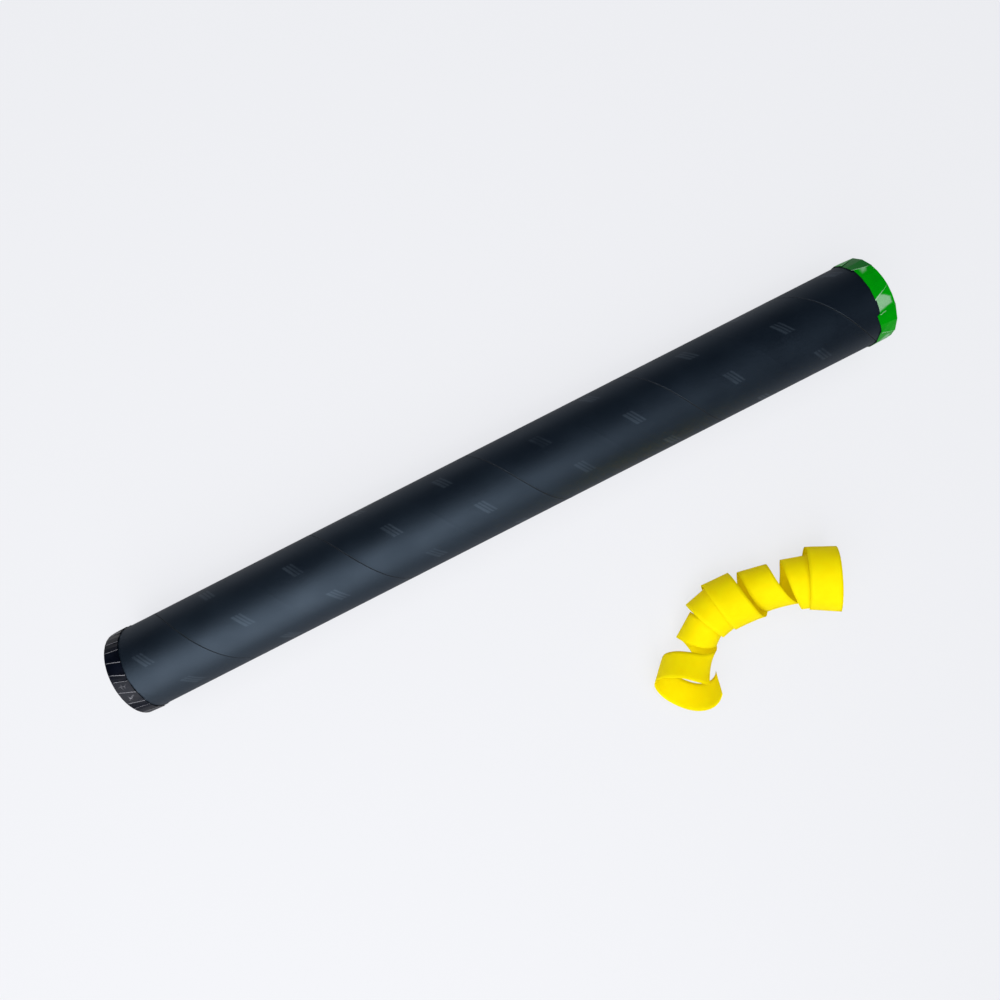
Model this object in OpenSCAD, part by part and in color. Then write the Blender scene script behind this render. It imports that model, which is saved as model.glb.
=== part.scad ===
// Sealed streamer sleeve for a compressed gas launcher, with one spent streamer beside it.
// The tube lies along +X. The origin is the middle of the flat foil face at the gas end.

/* [Tube] */
// Length of the cut board tube
tube_l = 500; // [300:10:800]
// Outside diameter of the finished tube
tube_d = 52; // [46:1:80]
// Thickness of the outer wrap paper
wrap_t = 0.3; // [0.2:0.05:0.5]
// Thickness of one wound board ply
ply_t = 0.6; // [0.4:0.05:1]
// Thickness of the smooth inner liner
liner_t = 0.35; // [0.2:0.05:0.6]
// Thickness of the glue between two plies, and under an adhesive band
glue_t = 0.05; // [0.02:0.01:0.1]
// Length of tube that one turn of the wound paper covers
wind_lead = 104; // [80:1:160]
// Gap left where the edges of the wound paper meet
seam_w = 0.5; // [0.3:0.1:1.2]

/* [End foils] */
// Thickness of the sealing film
film_t = 0.15; // [0.1:0.01:0.3]
// Thickness of the adhesive band under a skirt
tape_t = 0.1; // [0.05:0.01:0.2]
// Width of the adhesive band
tape_w = 8; // [5:0.5:8.5]
// Height that a pleat stands above the film beside it
pleat_rise = 0.5; // [0.3:0.05:0.8]
// Length of the gathered skirt at the gas end
gas_skirt_l = 9.2; // [9:0.1:14]
// Number of pleats at the gas end
gas_pleats = 24; // [16:1:32]
// Length of the folded skirt at the muzzle
muzzle_skirt_l = 10.6; // [9.5:0.1:16]

/* [Payload] */
// Length of the foam wad that holds the gas back
wad_l = 15; // [8:1:30]
// Radial running gap round the wad and the discs
wad_clear = 0.3; // [0.2:0.05:0.6]
// Chamfer on the edges of the wad
wad_chamfer = 1.2; // [0.5:0.1:3]
// Thickness of the pusher disc
pusher_t = 2; // [1:0.5:4]
// Thickness of the cover disc
cover_t = 1; // [0.6:0.1:2]
// Gap between the payload and the foil, at rest and at full travel
end_gap = 0.3; // [0.2:0.1:1]
// Radial gap round the streamer rolls
roll_clear = 0.6; // [0.4:0.1:1.5]
// Length of paper strip on one roll
strip_l = 10000; // [4000:500:11000]
// Thickness of the streamer paper
paper_t = 0.08; // [0.04:0.01:0.09]

/* [Loose streamer] */
// Width of a streamer, in the rolls and loose
ribbon_w = 18; // [15:0.5:19]
// Thickness of the loose ribbon's solid
ribbon_t = 0.5; // [0.4:0.05:0.6]
// Diameter of an even turn of the loose curl
curl_d = 31; // [29:1:36]
// Distance of the curl's wide end from the gas end
curl_x = 402; // [320:1:480]
// Distance of the curl's wide end from the tube's axis
curl_y = 141; // [120:1:200]

/* [Hidden] */
ROLLS = 20;
ROLL_NAMES = [for (k = [1:ROLLS]) str("streamer_roll_", k < 10 ? "0" : "", k)];

// Facets of a full circle
round_fn = 256;
// Length by which a cut runs past the face that it leaves
overrun = 1;

// The plies, from the outside in
tube_r = tube_d / 2;
wrap_in_r = tube_r - wrap_t;
ply_2_r = wrap_in_r - glue_t;
ply_2_in_r = ply_2_r - ply_t;
ply_1_r = ply_2_in_r - glue_t;
ply_1_in_r = ply_1_r - ply_t;
liner_r = ply_1_in_r - glue_t;
bore_r = liner_r - liner_t;
// The cut ends of the tube lie under the film
tube_x = film_t;
tube_end_x = tube_x + tube_l;
muzzle_x = tube_end_x + film_t;

// Seams of the wound plies, placed where the outer one crosses the top of the tube
wrap_seam_x = tube_x + tube_l / 2 + wind_lead / 10;
liner_seam_x = wrap_seam_x + wind_lead / 2;
SEAM_STEPS = 16;
// Each step of a seam starts in the middle of a facet of the tube, this share of a step on
facet_middle_share = SEAM_STEPS / round_fn / 2;

// Skirts
tape_in_r = tube_r + glue_t;
skirt_in_r = tape_in_r + tape_t;
film_r = skirt_in_r + film_t;
// The film lifts off the round tube a little at the bottom of each fold
fold_r = film_r + film_t / 3;
rest_z = -(fold_r + pleat_rise / 4);
rim_r = 2 * film_t;
// Folds at the muzzle, from the first one's edge: how much of the round each takes,
// its length at its two sides, and how far its edge leans, in even folds
muzzle_first_turn = -75;
muzzle_fold_shares = [1.03, 0.92, 0.72, 1.19, 1.06, 0.94, 1.14, 0.92, 1.08, 1];
muzzle_length_shares = [[1.04, 1.02], [0.93, 1], [0.92, 0.98], [1.13, 0.92], [1, 1.04],
    [0.95, 0.99], [1.06, 0.97], [0.94, 1], [1.05, 0.98], [0.97, 1.03]];
muzzle_slant_shares = [0.28, -0.2, 0.32, 0.15, -0.25, 0.3, 0.2, -0.15, 0.3, 0.22];
// Fine folds at the gas end: regular gathers, uneven by a rule
gas_first_turn = 0;
gas_fold_shares = [for (k = [0:gas_pleats - 1]) 1 + 0.28 * sin(137 * k) + 0.12 * sin(61 * k)];
gas_length_shares = [for (k = [0:gas_pleats - 1])
    [1 + 0.035 * sin(101 * k), 1 + 0.035 * sin(71 * k + 40)]];
gas_slant_shares = [for (k = [0:gas_pleats - 1]) 0.4 + 0.17 * sin(83 * k)];
muzzle_chords = 6;
gas_chords = 3;
// Width of a fold's edge, as a share of the fold
fold_edge_share = 0.06;

// Payload, from the gas end forward
wad_x = tube_x + end_gap;
wad_r = bore_r - wad_clear;
pusher_x = wad_x + wad_l;
roll_x = pusher_x + pusher_t;
cover_x = roll_x + ROLLS * ribbon_w;
payload_end_x = cover_x + cover_t;
payload_travel = tube_end_x - end_gap - payload_end_x;
roll_r = bore_r - roll_clear;
// A wound roll is mostly paper, with a little air
wound_fill_share = 0.9;
roll_in_r = sqrt(roll_r ^ 2 - strip_l * paper_t / (PI * wound_fill_share));
tail_t = 3 * paper_t;
tail_angle = 28;

// The loose curl: one row for each turn, from the wide end
// Places of the turns' middles, in ribbon widths from the wide end
turn_place_shares = [[-0.06, 0.03], [-0.58, 0.16], [-1.95, 0.58], [-3.18, 0.68],
    [-3.78, 0.64], [-4.42, 0.25], [-5.62, -0.78], [-6.1, -0.72]];
// Heading of each turn's axis
turn_head_angles = [153, 166, 172, 181, 197, 219, 225, 226];
// Radius at the middle of the ribbon and height of the axis, as shares of an even turn's radius
turn_size_shares = [1.3, 1.06, 0.85, 1.07, 0.96, 0.76, 0.84, 1.65];
turn_height_shares = [1.34, 1.17, 1.17, 1.17, 1.04, 0.88, 1.2, 1.72];
// Angle at which each turn widens towards the wide end
turn_flare_angles = [2, 0, -1, -2, -3, -4, -5, -10];
// Angle by which each turn's axis rises: the first turns lean over, the last one opens upward
turn_rise_angles = [-16, -18, -14, -8, -8, -8, 28, 64];
TURN_STEPS = 24;
// The ribbon starts and ends on its near side, this many turns from the top of the first one
curl_first_turn = -0.2;
curl_last_turn = 6.8;
// Most of a turn's advance falls on its near side, half a turn past this part of it
lag_share = 0.8;
lag_place_share = 0.25;

// Value of a list between two of its places, on a smooth curve through them
function at(rows, u) =
    let (last = len(rows) - 1,
         k = max(0, min(last - 1, floor(u))),
         f = u - k,
         a = rows[max(0, k - 1)],
         b = rows[k],
         c = rows[k + 1],
         d = rows[min(last, k + 2)])
    b + (c - a) * f / 2 + (2 * a - 5 * b + 4 * c - d) * f ^ 2 / 2
        + (3 * b - a - 3 * c + d) * f ^ 3 / 2;

function unit(v) = v / norm(v);

function sum_to(list, k) = k <= 0 ? 0 : list[k - 1] + sum_to(list, k - 1);

// Faces between rings of the same number of points, each closed on itself
function ring_faces(rings, points) = [
    for (j = [0:rings - 2]) for (i = [0:points - 1])
        let (a = j * points + i,
             b = j * points + (i + 1) % points)
        each [[b, a, b + points], [b + points, a, a + points]]
];

// Faces along a strip whose rings have four points: both sides are split along the same diagonal,
// so that a thin strip can twist
function strip_faces(rings) = [
    for (j = [0:rings - 2]) for (i = [0:3])
        let (a = j * 4 + i,
             b = j * 4 + (i + 1) % 4)
        each i < 2 ? [[b, a, b + 4], [b + 4, a, a + 4]] : [[b, a, a + 4], [b + 4, b, a + 4]]
];

// Faces that close both ends of a strip whose rings have four points
function strip_caps(last) = [[1, 2, 3], [0, 1, 3],
    [last + 1, last, last + 2], [last + 2, last, last + 3]];

// A straight bore or outside along the tube, from one place to another
module round_x(r, from_x, to_x) {
    translate([from_x, 0, 0])
        rotate([0, 90, 0])
            cylinder(r = r, h = to_x - from_x, $fn = round_fn);
}

module ring_x(r, in_r, from_x, to_x) {
    difference() {
        round_x(r, from_x, to_x);
        round_x(in_r, from_x - overrun, to_x + overrun);
    }
}

// The strip of space between the edges of the wound paper
function seam_ring(x, seam_x, in_r, r) =
    let (turn = 360 * (x - seam_x) / wind_lead)
    [for (c = [[-1, in_r], [1, in_r], [1, r], [-1, r]])
        [x + c[0] * seam_w / 2, -c[1] * sin(turn), c[1] * cos(turn)]];

module seam_cut(seam_x, in_r, r) {
    step = wind_lead / SEAM_STEPS;
    first = floor((tube_x - overrun - seam_x) / step);
    count = ceil((tube_end_x + overrun - seam_x) / step) - first;
    points = [for (k = [0:count]) each
        seam_ring(seam_x + (first + k + facet_middle_share) * step, seam_x,
            in_r - overrun, r + overrun)];
    polyhedron(points = points, faces = concat(ring_faces(count + 1, 4), strip_caps(4 * count)));
}

module tube_liner() {
    color([0.78, 0.74, 0.66])
        difference() {
            ring_x(liner_r, bore_r, tube_x, tube_end_x);
            seam_cut(liner_seam_x, bore_r, liner_r);
        }
}

module board_ply_inner() {
    color([0.62, 0.5, 0.36])
        ring_x(ply_1_r, ply_1_in_r, tube_x, tube_end_x);
}

module board_ply_outer() {
    color([0.58, 0.46, 0.33])
        ring_x(ply_2_r, ply_2_in_r, tube_x, tube_end_x);
}

module outer_wrap() {
    color([0.05, 0.07, 0.1])
        difference() {
            ring_x(tube_r, wrap_in_r, tube_x, tube_end_x);
            seam_cut(wrap_seam_x, wrap_in_r, tube_r);
        }
}

module gas_foil_tape() {
    color([0.85, 0.85, 0.8])
        ring_x(skirt_in_r, tape_in_r, tube_x, tube_x + tape_w);
}

module muzzle_foil_tape() {
    color([0.85, 0.85, 0.8])
        ring_x(skirt_in_r, tape_in_r, tube_end_x - tape_w, tube_end_x);
}

// One ring of the folded skirt: down is how far along the skirt it lies, from 0 to 1.
// Each fold climbs from the film to its edge, and the edges fan out from the rim.
function skirt_ring(down, skirt_l, first, folds, lengths, slants, chords) =
    let (round = sum_to(folds, len(folds)))
    [for (k = [0:len(folds) - 1]) for (i = [0:chords])
        let (along = i == chords ? 1 - fold_edge_share : i / chords,
             next = slants[(k + 1) % len(folds)],
             place = sum_to(folds, k) + folds[k] * along,
             shift = (slants[k] * (1 - along) + next * along) * down,
             turn = first + 360 * (place + shift) / round,
             r = fold_r + pleat_rise * along * down,
             share = lengths[k][0] * (1 - along) + lengths[k][1] * along,
             end = rim_r + (skirt_l * share - rim_r) * down)
        [end, -r * sin(turn), max(rest_z, r * cos(turn))]];

// The film's rounded rim, as rings of the same points pulled in
function rim_ring(a, ring) =
    let (in = rim_r * (1 - cos(a)))
    [for (p = ring) [rim_r * (1 - sin(a)), p[1] * (1 - in / fold_r), p[2] * (1 - in / fold_r)]];

// Film over one end of a tube that starts at the origin, gathered round its outside
module end_foil(skirt_l, first, folds, lengths, slants, chords) {
    rim = skirt_ring(0, skirt_l, first, folds, lengths, slants, chords);
    count = len(rim);
    rings = concat([for (a = [90, 60, 30]) rim_ring(a, rim)],
        [for (down = [0, 0.35, 0.7, 1])
            skirt_ring(down, skirt_l, first, folds, lengths, slants, chords)]);
    last = len(rings) * count;
    points = concat([for (ring = rings) each ring], [[0, 0, 0], [skirt_l, 0, 0]]);
    caps = [for (i = [0:count - 1]) each [
        [last, i, (i + 1) % count],
        [last + 1, last - count + (i + 1) % count, last - count + i]]];
    difference() {
        polyhedron(points = points, faces = concat(ring_faces(len(rings), count), caps));
        round_x(skirt_in_r, film_t, 2 * skirt_l);
    }
}

module gas_foil() {
    color([0.06, 0.06, 0.07])
        end_foil(gas_skirt_l, gas_first_turn, gas_fold_shares, gas_length_shares,
            gas_slant_shares, gas_chords);
}

module muzzle_foil() {
    color([0.02, 0.6, 0.12])
        translate([muzzle_x, 0, 0])
            mirror([1, 0, 0])
                end_foil(muzzle_skirt_l, muzzle_first_turn, muzzle_fold_shares,
                    muzzle_length_shares, muzzle_slant_shares, muzzle_chords);
}

module foam_wad() {
    color([0.32, 0.33, 0.35])
        translate([wad_x, 0, 0])
            rotate([0, 90, 0])
                rotate_extrude($fn = round_fn)
                    polygon([[0, 0], [wad_r - wad_chamfer, 0], [wad_r, wad_chamfer],
                        [wad_r, wad_l - wad_chamfer], [wad_r - wad_chamfer, wad_l], [0, wad_l]]);
}

module pusher_disc() {
    color([0.6, 0.58, 0.54])
        round_x(wad_r, pusher_x, pusher_x + pusher_t);
}

module cover_disc() {
    color([0.66, 0.64, 0.6])
        round_x(wad_r, cover_x, cover_x + cover_t);
}

// The free end of the strip lies on the turn below it, a paper's thickness inside the edges
module tail(r, turn) {
    rotate([0, 0, turn])
        rotate_extrude(angle = tail_angle, $fn = round_fn)
            translate([r - tail_t, paper_t])
                square([2 * tail_t, ribbon_w - 2 * paper_t]);
}

module streamer_roll(k) {
    color([1, 0.85, 0.05])
        translate([roll_x + k * ribbon_w, 0, 0])
            rotate([0, 90, 0])
                union() {
                    difference() {
                        cylinder(r = roll_r - tail_t, h = ribbon_w, $fn = round_fn);
                        translate([0, 0, -overrun])
                            cylinder(r = roll_in_r + tail_t, h = ribbon_w + 2 * overrun, $fn = round_fn);
                    }
                    tail(roll_r - tail_t, 137 * k);
                    tail(roll_in_r + tail_t, 137 * k + 90);
                }
}

// Middle line of the loose curl, u turns from the top of its first turn
function lag(u) =
    u - lag_share * (sin(360 * (u - lag_place_share)) + sin(360 * lag_place_share)) / (2 * PI);
function curl_axis(u) =
    let (a = at(turn_head_angles, lag(u)), b = at(turn_rise_angles, lag(u)))
    [cos(a) * cos(b), sin(a) * cos(b), sin(b)];
function curl_r(u) = curl_d / 2 * at(turn_size_shares, u);
function curl_out(u) =
    let (axis = curl_axis(u),
         side = unit(cross([0, 0, 1], axis)),
         up = cross(axis, side))
    cos(360 * u) * up - sin(360 * u) * side;
function curl_middle(u) =
    let (p = at(turn_place_shares, lag(u)) * ribbon_w)
    [curl_x + p[0], p[1] - curl_y, rest_z + curl_d / 2 * at(turn_height_shares, lag(u))];
function curl_point(u) = curl_middle(u) + curl_r(u) * curl_out(u);
// Across the ribbon: square to its run, and flared
function curl_across(u) =
    let (run = unit(curl_point(u + 1 / 90) - curl_point(u - 1 / 90)),
         axis = curl_axis(u),
         flat = unit(axis - run * (axis * run)),
         out = unit(cross(run, flat)),
         face = out * curl_out(u) < 0 ? -out : out,
         flare = at(turn_flare_angles, u))
    [flat * cos(flare) - face * sin(flare), face * cos(flare) + flat * sin(flare)];
function curl_ring(u) =
    let (p = curl_point(u), across = curl_across(u))
    [for (c = [[-1, -1], [1, -1], [1, 1], [-1, 1]])
        let (q = p + c[0] * ribbon_w / 2 * across[0] + c[1] * ribbon_t / 2 * across[1])
        [q[0], q[1], max(rest_z, q[2])]];
curl_count = round((curl_last_turn - curl_first_turn) * TURN_STEPS);
function curl_u(k) = curl_first_turn + k * (curl_last_turn - curl_first_turn) / curl_count;

module loose_streamer() {
    points = [for (k = [0:curl_count]) each curl_ring(curl_u(k))];
    color([1, 0.9, 0])
        polyhedron(points = points,
            faces = concat(strip_faces(curl_count + 1), strip_caps(4 * curl_count)));
}

// Least gap between the turns, measured on points across the ribbon, half a turn or more apart
gap_lines = [for (k = [0:2:curl_count])
    let (p = curl_point(curl_u(k)), across = curl_across(curl_u(k))[0])
    [for (c = [-1:0.5:1]) p + c * ribbon_w / 2 * across]];
curl_gap = min([for (j = [0:len(gap_lines) - 1]) for (k = [j + TURN_STEPS / 4:1:len(gap_lines) - 1])
    for (p = gap_lines[j]) for (q = gap_lines[k]) norm(p - q)]) - ribbon_t;

echo(payload_travel = payload_travel, roll_in_r = roll_in_r,
    rest_z = rest_z, muzzle_x = muzzle_x, curl_gap = curl_gap);

tube_liner();
board_ply_inner();
board_ply_outer();
outer_wrap();
gas_foil_tape();
muzzle_foil_tape();
gas_foil();
muzzle_foil();
foam_wad();
pusher_disc();
cover_disc();
loose_streamer();
for (k = [0:ROLLS - 1])
    streamer_roll(k);
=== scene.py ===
"""Looks of a sealed streamer sleeve for a gas launcher, with one spent yellow streamer beside it.

The tube lies along +X, in metres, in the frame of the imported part. A black wrap is wound round it on a slant, black
film is gathered over the gas end and green film is folded over the muzzle.
"""

import logging
import math
import random
from contextlib import contextmanager
from dataclasses import dataclass
from enum import Enum
from functools import cache
from typing import Callable, Iterator, Sequence

import bmesh
import bpy
from mathutils import Matrix, Vector


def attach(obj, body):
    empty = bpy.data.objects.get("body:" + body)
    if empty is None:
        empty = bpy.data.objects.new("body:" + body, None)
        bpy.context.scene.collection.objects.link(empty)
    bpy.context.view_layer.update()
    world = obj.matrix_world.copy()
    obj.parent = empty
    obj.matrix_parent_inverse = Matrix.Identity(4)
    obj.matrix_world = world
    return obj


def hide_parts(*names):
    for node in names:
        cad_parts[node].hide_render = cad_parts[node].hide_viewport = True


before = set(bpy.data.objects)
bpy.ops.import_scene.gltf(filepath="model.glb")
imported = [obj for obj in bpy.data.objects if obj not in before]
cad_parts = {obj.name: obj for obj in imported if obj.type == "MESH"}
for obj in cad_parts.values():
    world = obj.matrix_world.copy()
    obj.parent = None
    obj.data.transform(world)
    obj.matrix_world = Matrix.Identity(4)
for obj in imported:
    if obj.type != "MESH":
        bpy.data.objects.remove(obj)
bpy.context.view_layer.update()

LOG = logging.getLogger("streamer_sleeve")
MM = 0.001
FULL_TURN = 2 * math.pi
MERGE = 1e-7

Point = tuple[float, float, float]
Colour = tuple[float, float, float, float]

PALE: Colour = (0.855, 0.863, 0.896, 1)


class Body(str, Enum):
    """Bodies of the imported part."""

    SLEEVE = "sleeve"
    PAYLOAD = "payload"
    STREAMER = "loose_streamer"


class Slot(str, Enum):
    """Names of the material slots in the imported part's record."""

    WRAP = "wrap_paper"
    BLACK_FILM = "black_foil"
    GREEN_FILM = "green_foil"
    STREAMER = "streamer_paper"


@dataclass(frozen=True)
class TubeSizes:
    """Sizes that the pieces share with the part's source, in metres."""

    tube_l: float = 500 * MM
    tube_r: float = 26 * MM
    wrap_t: float = 0.3 * MM
    glue_t: float = 0.05 * MM
    film_t: float = 0.15 * MM
    tape_t: float = 0.1 * MM
    pleat_rise: float = 0.5 * MM
    lead: float = 104 * MM
    seam_w: float = 0.5 * MM

    @property
    def start_x(self) -> float:
        """Place of the tube's cut end at the gas end."""
        return self.film_t

    @property
    def end_x(self) -> float:
        """Place of the tube's cut end at the muzzle."""
        return self.start_x + self.tube_l

    @property
    def muzzle_x(self) -> float:
        """Place of the outside of the muzzle's film."""
        return self.end_x + self.film_t

    @property
    def seam_x(self) -> float:
        """Place where the wrap's middle seam crosses the top of the tube."""
        return self.start_x + self.tube_l / 2 + self.lead / 10

    @property
    def skirt_in_r(self) -> float:
        """Radius inside the films' skirts."""
        return self.tube_r + self.glue_t + self.tape_t

    @property
    def fold_r(self) -> float:
        """Radius outside the film at the bottom of a fold."""
        return self.skirt_in_r + self.film_t * 4 / 3

    @property
    def rest_z(self) -> float:
        """Height of the surface that the sleeve and the streamer lie on."""
        return -(self.fold_r + self.pleat_rise / 4)


SIZES = TubeSizes()


# ---------------------------------------------------------------- building node trees


def operator(operation: str, swapped: bool = False) -> Callable[["Wire", "Wire | float"], "Wire"]:
    """An operator of Wire that adds a Math node.

    Args:
        operation: The node's operation.
        swapped: Whether the Wire comes second, as in 1 - wire.

    Returns:
        The operator's function.
    """

    def run(self: "Wire", other: "Wire | float") -> "Wire":
        """Joins the two values."""
        return self.tree.math(operation, *((other, self) if swapped else (self, other)))

    return run


class Wire:
    """A value in a node tree, which takes part in sums with numbers and other values."""

    __add__, __radd__ = operator("ADD"), operator("ADD", swapped=True)
    __sub__, __rsub__ = operator("SUBTRACT"), operator("SUBTRACT", swapped=True)
    __mul__, __rmul__ = operator("MULTIPLY"), operator("MULTIPLY", swapped=True)
    __truediv__ = operator("DIVIDE")
    __pow__ = operator("POWER")

    def __init__(self, tree: "Tree", socket: bpy.types.NodeSocket) -> None:
        """Holds one output socket of a tree's node."""
        self.tree = tree
        self.socket = socket

    def of(self, operation: str, *others: "Wire | float") -> "Wire":
        """Any other operation of the Math node on this value."""
        return self.tree.math(operation, self, *others)

    def clamped(self, low: "Wire | float" = 0.0, high: "Wire | float" = 1.0) -> "Wire":
        """This value kept between two others."""
        return self.of("MAXIMUM", low).of("MINIMUM", high)

    def near(self, other: "Wire | float", width: float) -> "Wire":
        """A mask that is 1 where this value meets another, and falls to 0 at a width from it."""
        return 1 - (((self - other).of("ABSOLUTE")) / width).clamped()

    def smooth(self, low: float, high: float) -> "Wire":
        """A mask that climbs smoothly from 0 at low to 1 at high."""
        return self.tree.smooth(self, low, high)


class Tree:
    """Adds nodes to one node tree and joins them."""

    def __init__(self, tree: bpy.types.NodeTree) -> None:
        """Holds the tree."""
        self.tree = tree

    def add(self, kind: str, inputs: dict[str | int, object] | None = None, **settings: object) -> bpy.types.Node:
        """Adds a node.

        Args:
            kind: The node's type.
            inputs: What its inputs take: a number, a colour, a vector, a socket or a Wire.
            settings: The node's own properties.

        Returns:
            The new node.
        """
        node = self.tree.nodes.new(kind)
        for name, value in settings.items():
            setattr(node, name, value)
        for name, value in (inputs or {}).items():
            self.feed(node.inputs[name], value)
        return node

    def feed(self, socket: bpy.types.NodeSocket, value: object) -> None:
        """Joins a socket or Wire to an input, or sets the input's own value.

        Args:
            socket: The input.
            value: What it takes.
        """
        if isinstance(value, Wire):
            value = value.socket
        if isinstance(value, bpy.types.NodeSocket):
            self.tree.links.new(value, socket)
        else:
            socket.default_value = value

    def out(self, node: bpy.types.Node, name: str | int = 0) -> Wire:
        """One of a node's outputs, as a Wire."""
        return Wire(self, node.outputs[name])

    def math(self, operation: str, *values: Wire | float) -> Wire:
        """A Math node on one to three values."""
        return self.out(self.add("ShaderNodeMath", dict(enumerate(values)), operation=operation))

    def smooth(self, value: Wire, low: float, high: float) -> Wire:
        """A Map Range node with a smooth step from 0 to 1.

        Args:
            value: The value that climbs.
            low: Where the step starts.
            high: Where it ends.

        Returns:
            The step.
        """
        node = self.add("ShaderNodeMapRange", {"Value": value, "From Min": low, "From Max": high},
                        interpolation_type="SMOOTHSTEP")
        return self.out(node, "Result")

    def mix(self, share: Wire | float, a: object, b: object) -> Wire:
        """Colour a, b or a mix of them."""
        # The Mix node has the same names for each type's sockets, so its colours are found by number
        return self.out(self.add("ShaderNodeMix", {"Factor": share, 6: a, 7: b}, data_type="RGBA"), 2)

    def joined(self, x: Wire | float, y: Wire | float, z: Wire | float) -> Wire:
        """A vector from three values."""
        return self.out(self.add("ShaderNodeCombineXYZ", {0: x, 1: y, 2: z}))

    def split(self, vector: Wire) -> tuple[Wire, Wire, Wire]:
        """The three values of a vector."""
        node = self.add("ShaderNodeSeparateXYZ", {0: vector})
        return self.out(node, 0), self.out(node, 1), self.out(node, 2)

    def noise(self, vector: Wire, scale: Wire | float, detail: float = 3.0, roughness: float = 0.5) -> Wire:
        """Smooth noise from 0 to 1."""
        return self.out(self.add("ShaderNodeTexNoise", {"Vector": vector, "Scale": scale, "Detail": detail,
                                                        "Roughness": roughness}))


def make_group(name: str, inputs: dict[str, float | None],
               outputs: Sequence[str]) -> tuple[Tree, dict[str, Wire], Callable]:
    """Starts a shader node group.

    Args:
        name: The group's name.
        inputs: Its inputs with their values, or None for a vector.
        outputs: Its outputs, which are all values.

    Returns:
        The group's tree, its inputs as Wires, and a function that joins its outputs.
    """
    group = bpy.data.node_groups.new(name, "ShaderNodeTree")
    for label, value in inputs.items():
        kind = "NodeSocketVector" if value is None else "NodeSocketFloat"
        socket = group.interface.new_socket(label, in_out="INPUT", socket_type=kind)
        if value is not None:
            socket.default_value = value
    for label in outputs:
        group.interface.new_socket(label, in_out="OUTPUT", socket_type="NodeSocketFloat")
    tree = Tree(group)
    entry = tree.add("NodeGroupInput")
    end = tree.add("NodeGroupOutput")

    def close(**values: Wire) -> bpy.types.NodeTree:
        """Joins the outputs.

        Args:
            values: What each named output takes.

        Returns:
            The group.
        """
        for label, value in values.items():
            tree.feed(end.inputs[label], value)
        return group

    return tree, {label: tree.out(entry, label) for label in inputs}, close


@cache
def paper_group() -> bpy.types.NodeTree:
    """Matted paper fibres.

    Returns:
        A group that gives a shade that varies, and a height for bump.
    """
    tree, given, close = make_group("paper_fibres", {"Vector": None, "Fibre": 4000.0, "Cloud": 60.0},
                                    ("Shade", "Height"))
    fine = tree.noise(given["Vector"], given["Fibre"], 3.0, 0.6)
    broad = tree.noise(given["Vector"], given["Cloud"], 4.0, 0.55)
    return close(Shade=(fine * 0.45 + broad * 0.55).clamped(), Height=fine)


@cache
def crumple_group() -> bpy.types.NodeTree:
    """Fine creases in film that has been handled.

    Returns:
        A group that gives a height, and a mask on the creases.
    """
    tree, given, close = make_group("film_crumple", {"Vector": None, "Scale": 300.0}, ("Height", "Crease"))
    bent = tree.noise(given["Vector"], 150.0, 2.0)
    moved = tree.add("ShaderNodeVectorMath", {0: given["Vector"], 1: tree.joined(bent * 0.004, bent * 0.004, 0.0)},
                     operation="ADD")
    cells = tree.add("ShaderNodeTexVoronoi", {"Vector": moved.outputs[0], "Scale": given["Scale"]},
                     feature="DISTANCE_TO_EDGE")
    edge = tree.out(cells)
    swell = tree.noise(given["Vector"], 220.0, 2.0, 0.4)
    return close(Height=edge * 0.5 + swell * 0.8, Crease=1 - edge.smooth(0.0, 0.06))


@cache
def wear_and_highlight_group() -> bpy.types.NodeTree:
    """Wear along an edge; on the films the same mask also paints highlights along the fold edges and the rim.

    Returns:
        A group that gives the edge's mask, broken up by noise.
    """
    tree, given, close = make_group("edge_wear_and_highlight", {"Vector": None, "Edge": 0.0, "Amount": 0.5}, ("Mask",))
    patch = tree.noise(given["Vector"], 900.0, 3.0, 0.6)
    return close(Mask=(given["Edge"] * (given["Amount"] + patch)).smooth(0.45, 0.95))


# ---------------------------------------------------------------- finishes


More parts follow.
